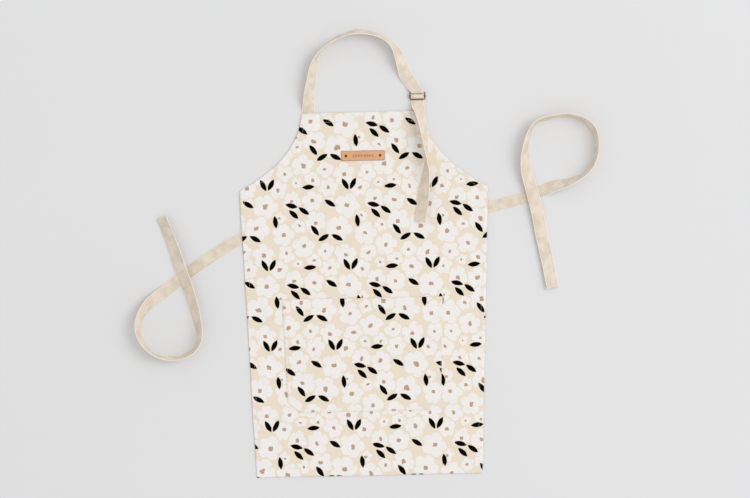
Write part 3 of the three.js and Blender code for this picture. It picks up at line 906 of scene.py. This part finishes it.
def body_flat(across, up):
    """across runs from -0.5 to 0.5, and up from the bottom hem (0) to the bib's top (1)."""
    row = up * BODY_ROWS
    if row > BODY_ROWS - ARMHOLE_ROWS:
        corner = armhole_at((BODY_ROWS - row) / ARMHOLE_ROWS)
        return Vector((2 * across * corner.x, corner.y, 0))
    y = mixed(HEM_Y, UNDERARM_Y, row / (BODY_ROWS - ARMHOLE_ROWS))
    return Vector((2 * across * half_width(y), y, 0))


def body_hem(across, up):
    """Where the hem that is folded in from the edge there ends."""
    edge = body_flat(across, up)
    y = mixed(HEM_Y + END_HEM, BIB_TOP - END_HEM, (edge.y - HEM_Y) / (BIB_TOP - HEM_Y))
    return Vector((2 * across * (half_width(y) - SIDE_HEM), y, 0))


TWICE_TURNED = [
    (0.4, 0, 0), (0, 0, HEM_LAYER / 2), (0.4, 0, HEM_LAYER), (-0.4, 1, HEM_LAYER),
    (0, 1, 1.5 * HEM_LAYER), (-0.4, 1, 2 * HEM_LAYER), (1.5, 0, 2 * HEM_LAYER),
]
body = hemmed_sheet(
    "apron_body", BODY_COLUMNS, BODY_ROWS, body_flat, body_hem, on_cloth, TWICE_TURNED, body_canvas
)
print("body", len(body.data.polygons), "faces")

# %% [markdown]
# ## The pocket
# The patch pocket is a second sheet, folded in round its edge and sewn down on three sides, with a
# deeper hem along its open top. It is mapped the same way, and lies on the body's own surface, so it
# follows every wave of the cloth below it.

# %% The pocket
pocket_low, pocket_high = packed("pocket_panel")
POCKET_X = (pocket_low[0] + pocket_high[0]) / 2
POCKET_TOP = pocket_high[1]
POCKET_HEIGHT = pocket_high[1] - pocket_low[1]
POCKET_CORNER = 26
POCKET_TOP_HALF = (pocket_high[0] - pocket_low[0]) / 2
POCKET_BOTTOM_HALF = 185.5
POCKET_HEM = 11
POCKET_TOP_HEM = 25
POCKET_COLUMNS = 96
POCKET_ROWS = 72
CORNER_ROWS = 8
POCKET_GAP = 0.3
# How far the pocket's middle stands off the body, and over what length that changes.
SLACK = 1.4
SLACK_LENGTH = 95


def pocket_half(drop):
    half = mixed(POCKET_TOP_HALF, POCKET_BOTTOM_HALF, drop / POCKET_HEIGHT)
    into_corner = drop - (POCKET_HEIGHT - POCKET_CORNER)
    return half - max(0, into_corner)


def pocket_flat(across, up):
    row = (1 - up) * POCKET_ROWS
    straight = POCKET_ROWS - CORNER_ROWS
    if row <= straight:
        drop = (POCKET_HEIGHT - POCKET_CORNER) * row / straight
    else:
        drop = POCKET_HEIGHT - POCKET_CORNER * (POCKET_ROWS - row) / CORNER_ROWS
    return Vector((POCKET_X + 2 * across * pocket_half(drop), POCKET_TOP - drop, 0))


def pocket_inside(x, y):
    """How far inside the pocket's sewn edge a place is, and how far below its top."""
    drop = POCKET_TOP - y
    return min(pocket_half(drop) - abs(x - POCKET_X), POCKET_HEIGHT - drop), drop


def on_pocket(x, y, above=0):
    inside, drop = pocket_inside(x, y)
    inner = min(smooth(inside - POCKET_HEM, 1, 8), smooth(drop - POCKET_TOP_HEM, 0, 7))
    slack = smooth(inside, 6, 70) * (0.5 + 0.5 * noise.noise(Vector((x, y, 200)) / SLACK_LENGTH))
    return on_cloth(x, y, above + CANVAS + POCKET_GAP + HEM_LAYER * (1 - inner) + SLACK * slack)


def pocket_hem(across, up):
    edge = pocket_flat(across, up)
    drop = mixed(POCKET_TOP_HEM, POCKET_HEIGHT - POCKET_HEM, (POCKET_TOP - edge.y) / POCKET_HEIGHT)
    return Vector((POCKET_X + 2 * across * (pocket_half(drop) - POCKET_HEM), POCKET_TOP - drop, 0))


ONCE_TURNED = [(0.4, 0, 0), (0, 0, HEM_LAYER / 2), (0.4, 0, HEM_LAYER), (0, 1, HEM_LAYER)]
pocket = hemmed_sheet(
    "apron_pocket", POCKET_COLUMNS, POCKET_ROWS, pocket_flat, pocket_hem, on_pocket, ONCE_TURNED,
    pocket_canvas,
)
print("pocket", len(pocket.data.polygons), "faces")

# %% [markdown]
# ## Stitches
# Every hem is held by a row of thread, about three stitches to the centimetre. Each stitch is a tiny
# round-ended grain with a couple of dozen faces, copied along a line by its own matrix. A row drawn
# only in the finish would vanish from the mesh, so the grains are real.

# %% Sew a row
STITCH_LENGTH = 2.7
STITCH_PITCH = 3.5
STITCH_WIDTH = 0.6
GRAIN_SIDES = 6
GRAIN_RINGS = 4


def stitch_grain(height):
    """One stitch along X, lying across the cloth's middle and showing on both faces."""
    bm = bmesh.new()
    size = Matrix.Diagonal((STITCH_LENGTH / 2, STITCH_WIDTH / 2, height / 2, 1 / MM)) * MM
    bmesh.ops.create_uvsphere(bm, u_segments=GRAIN_SIDES, v_segments=GRAIN_RINGS, radius=1, matrix=size)
    mesh = bpy.data.meshes.new("grain")
    bm.to_mesh(mesh)
    bm.free()
    return mesh


def sew(name, rows, height):
    """One piece from many rows. Each row is (track, how far over the track the thread lies)."""
    grain = stitch_grain(height)
    bm = bmesh.new()
    for track, above in rows:
        count = max(1, round(track.length / (STITCH_PITCH * MM)))
        for step in range(count):
            spot, along, across, face = track.at(track.length * (step + 0.5) / count)
            stitch = grain.copy()
            turn = Matrix((along, across, face)).transposed().to_4x4()
            stitch.transform(Matrix.Translation(spot + face * above * MM) @ turn)
            bm.from_mesh(stitch)
            bpy.data.meshes.remove(stitch)
    bpy.data.meshes.remove(grain)
    piece = made_object(name, bm, thread)
    piece.data.shade_smooth()
    return piece


def sewn_line(points, lift, closed=False):
    """A track over the cloth, through flat points in millimetres, which lift puts on the cloth."""
    corners = points + points[:1] if closed else points
    spots = []
    for a, b in zip(corners, corners[1:]):
        steps = max(1, round((b - a).length / 3))
        spots += [lift(*mixed(a, b, i / steps)) for i in range(steps)]
    spots.append(lift(*corners[-1]))
    return Track(spots, [UP] * len(spots))


# %% Stitches round the body and the pocket
STITCH_HEIGHT = 0.42
ON_CANVAS = 0.24
hem_in = SIDE_HEM - 1.5
end_in = END_HEM - 2.5


def hem_outline():
    """The body's outline moved in to where its hem is sewn, clockwise from the bib's right corner."""
    right = []
    for i, corner in enumerate(armhole_line):
        ahead = armhole_line[min(i + 1, ARMHOLE_STEPS)] - armhole_line[max(i - 1, 0)]
        out = Vector((-ahead.y, ahead.x)).normalized()
        right.append(corner - out * hem_in)
    right = [corner for corner in right if UNDERARM_Y - 2 < corner.y < BIB_TOP - end_in]
    right.insert(0, Vector((ARMHOLE[0].x - hem_in, BIB_TOP - end_in)))
    right.append(Vector((ARMHOLE[3].x - hem_in, UNDERARM_Y - 4)))
    right.append(Vector((HEM_HALF_WIDTH - hem_in + 1, HEM_Y + end_in)))
    left = [Vector((-corner.x, corner.y)) for corner in reversed(right)]
    return right + left


hem_seam = sewn_line(hem_outline(), on_cloth, closed=True)
body_thread = sew("hem_stitches", [(hem_seam, ON_CANVAS)], STITCH_HEIGHT)

# The pocket's seam runs down one side, round the bottom and up the other side.
POCKET_SEAM_IN = 3
seam_drops = (1, POCKET_HEIGHT - POCKET_CORNER - 1, POCKET_HEIGHT - POCKET_SEAM_IN)
top_seam_drop = POCKET_TOP_HEM - POCKET_SEAM_IN
# Two short rows side by side lock the pocket at each end of its mouth.
LOCK_LENGTH = 14
LOCKS_IN = (1.5, 2.7)


def pocket_side(side, drop):
    return Vector((POCKET_X + side * (pocket_half(drop) - POCKET_SEAM_IN), POCKET_TOP - drop))


pocket_seam = [pocket_side(-1, drop) for drop in seam_drops]
pocket_seam += [pocket_side(1, drop) for drop in reversed(seam_drops)]
top_seam = [pocket_side(side, top_seam_drop) for side in (-1, 1)]
pocket_rows = [(sewn_line(seam, on_pocket), ON_CANVAS) for seam in (pocket_seam, top_seam)]
for side in (-1, 1):
    for lock_in in LOCKS_IN:
        start = pocket_side(side, 2) - Vector((side * lock_in, 0))
        lock = sewn_line([start, start - Vector((side, LOCK_LENGTH))], on_pocket)
        pocket_rows.append((lock, ON_CANVAS + 0.06))
pocket_thread = sew("pocket_stitches", pocket_rows, STITCH_HEIGHT)
grain_faces = sum(len(piece.data.polygons) for piece in (body_thread, pocket_thread))
print("stitches", grain_faces // (GRAIN_SIDES * GRAIN_RINGS))

# %% [markdown]
# ### Boxes of stitches
# Where a strap is sewn behind the cloth, a box crossed from corner to corner holds it. It shows on
# the front of the canvas.

# %% Crossed boxes
def crossed_box(middle, half, turn):
    """The corners of a sewn box, then its two diagonals."""
    way = Matrix.Rotation(math.radians(turn), 2)
    signs = ((-1, -1), (1, -1), (1, 1), (-1, 1))
    a, b, c, d = [middle + way @ Vector((sx * half[0], sy * half[1])) for sx, sy in signs]
    return [[a, b, c, d, a], [a, c], [b, d]]


# The middle of each box, half its size, and its turn in degrees.
box_y = BIB_TOP - 14
box_places = [
    (Vector((LEFT_STRAP_X, box_y)), (11, 11), 0), (Vector((RIGHT_STRAP_X, box_y)), (11, 11), 0),
    (Vector((-281, 53)), (9, 11), -40), (Vector((279, 97)), (9, 11), 16),
]
box_rows = [
    (sewn_line(line, on_cloth), ON_CANVAS)
    for middle, half, turn in box_places
    for line in crossed_box(middle, half, turn)
]
box_thread = sew("strap_box_stitches", box_rows, STITCH_HEIGHT)

# %% [markdown]
# ## Straps
# A strap starts as a long grid whose UV map is in metres. Each row of it is carried to its place on
# the route and turned by the lean there, with a slight hollow across its width, and Solidify gives
# it the thickness of two layers of tape. Its edge stitches use the same route.

# %% Make a strap
STRAP_COLUMNS = 8
HOLLOW_LENGTH = 0.06


def hollow_at(distance, w, hollow, seed):
    """How far a strap stands out over its edges, in metres. w runs from -0.5 to 0.5 across it."""
    sway = noise.noise(Vector((distance / HOLLOW_LENGTH, seed, 0)))
    return hollow * (1 - 4 * w * w) * (0.6 + sway) * MM


def strap_piece(name, track, hollow, seed=0, row_length=4):
    bm = bmesh.new()
    rows = max(8, round(track.length / (row_length * MM)))
    bmesh.ops.create_grid(bm, x_segments=STRAP_COLUMNS, y_segments=rows, size=0.5)
    uv = bm.loops.layers.uv.new("UVMap")
    for face in bm.faces:
        for loop in face.loops:
            flat = loop.vert.co
            loop[uv].uv = (flat.x * STRAP_WIDTH * MM, (flat.y + 0.5) * track.length)
    for vert in bm.verts:
        w, distance = vert.co.x, (vert.co.y + 0.5) * track.length
        spot, along, across, face = track.at(distance)
        lowest = spot.z - abs(across.z) * STRAP_WIDTH * MM / 2
        vert.co = spot + across * w * STRAP_WIDTH * MM + face * hollow_at(distance, w, hollow, seed)
        vert.co.z = max(vert.co.z, lowest)
    bmesh.ops.recalc_face_normals(bm, faces=bm.faces)
    return thicken(made_object(name, bm, tape), STRAP_THICKNESS, 0.4)


# %% Stitch a strap's edges
SEAM_START = 0.002
SEAM_STEP = 0.003
END_SEAMS = (0.012, 0.003)


def edge_rows(track, hollow, seed, hemmed):
    """Rows of stitches along both edges of a strap, and across its end if that is hemmed."""
    inset = (STRAP_WIDTH / 2 - EDGE_STITCH_IN) * MM
    rows = []
    steps = round(track.length / SEAM_STEP)
    for side in (-1, 1):
        w = side * inset / (STRAP_WIDTH * MM)
        spots, faces = [], []
        for step in range(steps + 1):
            distance = mixed(SEAM_START, track.length - SEAM_START, step / steps)
            spot, along, across, face = track.at(distance)
            spots.append(spot + across * side * inset + face * hollow_at(distance, w, hollow, seed))
            faces.append(face)
        rows.append((Track(spots, faces), 0))
    for from_end in END_SEAMS if hemmed else ():
        spot, along, across, face = track.at(track.length - from_end)
        spots = [spot + across * inset * share for share in (-0.9, -0.3, 0.3, 0.9)]
        rows.append((Track(spots, [face] * len(spots)), 0))
    return rows


# %% The ties, the neck strap and the adjusting strap
THROUGH = STRAP_THICKNESS + 0.5


def sewn_strap(name, stitches, track, hollow, seed=0, hemmed=False):
    """A strap, and the piece that holds all its stitches."""
    rows = edge_rows(track, hollow, seed, hemmed)
    return strap_piece(name, track, hollow, seed), sew(stitches, rows, THROUGH)


left_tie, left_tie_thread = sewn_strap(
    "left_waist_tie", "left_tie_stitches", left_tie_track, 0.7, seed=1, hemmed=True
)
right_tie, right_tie_thread = sewn_strap(
    "right_waist_tie", "right_tie_stitches", right_tie_track, 0.7, seed=2, hemmed=True
)
neck_strap, neck_thread = sewn_strap("neck_band", "neck_band_stitches", neck_track, 0.6, seed=3)
anchor, anchor_thread = sewn_strap("adjusting_band", "adjusting_band_stitches", anchor_track, 0)
tail, tail_thread = sewn_strap(
    "adjusting_tail", "adjusting_tail_stitches", tail_track, 0.4, seed=5, hemmed=True
)
print("tie", len(left_tie.data.polygons), "faces")

# %% [markdown]
# ### Turns round the bars
# The neck strap goes over the buckle's top bar and back under itself, where it is sewn. The adjusting
# strap turns back over the slide bar. Seen from the bar's end each is a thin loop, so the track here
# is a line in Y and Z, with the strap's width along X.

# %% Straps that turn round a bar
TURN_STEPS = 6


def half_turn(y, z, radius, side):
    """Steps round the half circle from its top to its underside."""
    angles = [step * math.pi / TURN_STEPS for step in range(TURN_STEPS + 1)]
    return [(y + side * radius * math.sin(a), z + radius * math.cos(a)) for a in angles]


def folded_track(profile, x_at=lambda y: BUCKLE_X, turn_at=lambda y: 0, places=120):
    """profile holds (y, z) of the strap's middle. turn_at is how far it is turned on the table."""
    points = [Vector((x_at(y), y, z)) for y, z in profile]
    spots, faces, widths = [], [], []
    for step in range(places + 1):
        share = step / places
        spot = through_points(points, share)
        near = [through_points(points, min(max(share + side, 0), 1)) for side in (-2e-3, 2e-3)]
        along = (near[1] - near[0]).normalized()
        turn = turn_at(spot.y)
        across = Vector((math.cos(turn), math.sin(turn), 0))
        spots.append(spot * MM)
        faces.append(along.cross(across).normalized())
        widths.append(across)
    return Track(spots, faces, widths)


# %% The two turned pieces
turned_y = TOP_BAR_Y + TURNED_END
wire_turn = WIRE_RADIUS + 0.3 + STRAP_THICKNESS / 2
SQUARE_LENGTH = 3


def turned_askew(y):
    """The turned end lies square to the top bar close by it, and then turns to the strap's slant."""
    share = (y - TOP_BAR_Y - SQUARE_LENGTH) / (TURNED_END - SQUARE_LENGTH)
    return min(max(share, 0), 1) * math.atan(SLANT)


turned_track = folded_track(
    [
        (turned_y, LOWER_Z + ON_FLAP), (turned_y - 7, LOWER_Z + ON_FLAP + 0.1),
        (turned_y - 14, LOWER_Z + ON_FLAP + 1.1), (turned_y - 22, WIRE_Z + wire_turn - 1.2),
        *half_turn(TOP_BAR_Y, WIRE_Z, wire_turn, -1),
        (TOP_BAR_Y + 7, LOWER_Z + 0.7), (TOP_BAR_Y + 14, LOWER_Z), (turned_y, LOWER_Z),
    ],
    askew_x,
    turned_askew,
)
slide_turn_y = SLIDE_BAR_Y + 2.1
fold_track = folded_track(
    [
        (BOTTOM_BAR_Y, TAIL_Z), (BOTTOM_BAR_Y + 1.5, TAIL_Z + 0.1), (BOTTOM_BAR_Y + 2.9, TAIL_Z + 0.95),
        (BOTTOM_BAR_Y + 4, FOLD_Z - 0.1), (SLIDE_BAR_Y - 2.6, FOLD_Z + 0.1),
        *half_turn(slide_turn_y, (FOLD_Z + LOWER_Z) / 2, (FOLD_Z - LOWER_Z) / 2, 1),
        (SLIDE_BAR_Y - 3, LOWER_Z), (BOTTOM_BAR_Y, LOWER_Z),
    ]
)
turned_end = strap_piece("neck_band_turned_end", turned_track, hollow=0, row_length=1.2)
fold = strap_piece("adjusting_fold", fold_track, hollow=0, row_length=0.7)
print("turned end", round(turned_track.length, 3), "m, fold", round(fold_track.length, 3), "m")


# %% The box that closes the neck strap's turned end
def on_turned_end(x, y):
    """x across and y along the strap's top layer, from where it joins the neck strap."""
    spot, along, across, face = turned_track.at(y * MM)
    return spot + across * x * MM + face * (STRAP_THICKNESS / 2 - 0.05) * MM


end_box = [
    (sewn_line(line, on_turned_end), 0)
    for line in crossed_box(Vector((0, 9)), (11.5, 6.5), 0)
]
end_thread = sew("turned_end_stitches", end_box, 0.5)

# %% [markdown]
# ## Label, rivets and buckle
# The label is a strip of thick leather with cut, rounded corners and a softened edge. It starts as a
# plane whose corners are bevelled, and gets its thickness and its soft edge from two modifiers. The
# rivets, the buckle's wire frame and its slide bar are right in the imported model, so they only get
# their finish.

# %% The label
LABEL_CORNER = 1.6
LABEL_EDGE = 0.45
bm = bmesh.new()
bmesh.ops.create_grid(bm, x_segments=1, y_segments=1, size=0.5)
for vert in bm.verts:
    vert.co = Vector((
        label_middle.x + math.copysign(label_half.x, vert.co.x),
        label_middle.y + math.copysign(label_half.y, vert.co.y),
        label_middle.z,
    )) * MM
bmesh.ops.bevel(
    bm, geom=list(bm.verts), offset=LABEL_CORNER * MM, segments=5, profile=0.5, affect="VERTICES",
    material=-1,
)
label = thicken(made_object("leather_patch", bm, leather), 2 * label_half.z, LABEL_EDGE, 3)
print("label", len(label.data.polygons), "faces")

# %% Finish the metal parts
metal_parts = {
    rivet_copper: ("rivet_cap_left", "rivet_cap_right", "rivet_base_left", "rivet_base_right"),
    antique_brass: ("buckle_frame", "buckle_slide_bar"),
}
for metal, nodes in metal_parts.items():
    for node in nodes:
        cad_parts[node].material_slots[0].material = metal

# %% [markdown]
# ## What moves with what
# The buckle and the strap that it hangs from slide up and down. Here the body, the pocket, the label,
# the ties and their stitches ride on the root, and the neck strap's turned end and its box of stitches
# ride on the strap's end. The neck strap, the adjusting strap, its tail and the fold have their places
# baked into their meshes. The fold round the slide bar is cut from its strap right under the bottom
# bar, where the cut doesn't show.

# %% Ride
for piece in (
    body, pocket, body_thread, pocket_thread, box_thread, label, left_tie, left_tie_thread, right_tie,
    right_tie_thread,
):
    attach(piece, "root")
for piece in (turned_end, end_thread):
    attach(piece, "strap_end")
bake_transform(fold)
for piece in (neck_strap, neck_thread):
    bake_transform(piece)
for piece in (anchor, anchor_thread):
    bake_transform(piece)
for piece in (tail, tail_thread):
    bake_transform(piece)

# %% Stand for the imported parts
# Each slot of the imported record, with the pieces and the nodes that those stand for. The nodes are
# hidden.
stands_for = {
    "printed_canvas": [(body, "body_panel"), (pocket, "pocket_panel")],
    "tan_leather": [(label, "leather_label")],
    "cotton_strap": [
        (left_tie, "left_tie"), (right_tie, "right_tie"), (neck_strap, "neck_strap"),
        (turned_end, "neck_strap_end"), (anchor, "adjust_strap_anchor"), (fold, "adjust_strap_fold"),
        (tail, "adjust_strap_tail"),
    ],
}
for slot, pairs in stands_for.items():
    for piece, node in pairs:
        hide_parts(node)

# %% [markdown]
# ## The soft pieces' lengths and sizes
# Points are taken along the ties, the neck strap and the tail, and the size of the body and of the
# pocket as they were cut, hems included, is worked out.

PATH_STEPS = 150


def declare_strap(track, exit_at):
    """exit_at is how far along the track, in metres, the strap comes out from what holds it."""
    spots = [track.at(track.length * step / PATH_STEPS)[0] for step in range(PATH_STEPS + 1)]
    tuple(track.at(exit_at)[0])


declare_strap(left_tie_track, 0.024)
declare_strap(right_tie_track, 0.02)
declare_strap(neck_track, 0.025)
declare_strap(tail_track, 0.004)

END_LENGTH = 0.42
SIDE_LENGTH = 0.95
finished_area = sum(
    (half_width(y) + half_width(y + 1)) * MM * MM for y in range(round(HEM_Y), round(BIB_TOP))
)
body_area = finished_area + 2 * (END_HEM * END_LENGTH + SIDE_HEM * SIDE_LENGTH) * MM
pocket_cut = (
    2 * (POCKET_TOP_HALF + POCKET_HEM) * MM, (POCKET_HEIGHT + POCKET_TOP_HEM + POCKET_HEM) * MM
)

# %% [markdown]
# ## Table top and light
# The table is a plain pale grey. Most of the light is even, from all round, and one large soft lamp
# from the right gives the straps their gentle shadows on the left. A far, large lamp was chosen over
# a near one because its light then hardly falls off across the apron.

# %% Table
TABLE_HALF = 6
TABLE_GAP = 0.4
table_finish = Finish("pale_table")
tone = table_finish.blotches(table_finish.place(), 400)
table_finish.set(Base_Color=table_finish.mix(tone, paint(226, 226, 227), paint(228, 228, 229)))
table_finish.set(Roughness=0.95, Specular_IOR_Level=0.1)
bm = bmesh.new()
bmesh.ops.create_grid(bm, x_segments=1, y_segments=1, size=TABLE_HALF)
bmesh.ops.translate(bm, vec=(0, 0, -TABLE_GAP * MM), verts=bm.verts)
table = made_object("table_top", bm, table_finish.material)
print("table", 2 * TABLE_HALF, "m wide")

# %% Lamp and sky
LAMP_FROM = Vector((8, 2, 8))
LAMP_SIZE = 7
LAMP_POWER = 430
SKY_SHARE = 0.79
lamp_data = bpy.data.lights.new("soft_lamp", "AREA")
lamp_data.shape = "SQUARE"
lamp_data.size = LAMP_SIZE
lamp_data.energy = LAMP_POWER
lamp = bpy.data.objects.new("soft_lamp", lamp_data)
lamp.location = LAMP_FROM
lamp.rotation_euler = (-LAMP_FROM).to_track_quat("-Z", "Y").to_euler()
bpy.context.scene.collection.objects.link(lamp)

world = bpy.data.worlds.new("studio")
world.use_nodes = True
sky = world.node_tree.nodes["Background"]
sky.inputs["Color"].default_value = (1, 1, 1, 1)
sky.inputs["Strength"].default_value = SKY_SHARE
bpy.context.scene.world = world
bpy.context.scene.view_settings.view_transform = "Standard"
print("lamp", LAMP_POWER, "W, sky", SKY_SHARE)
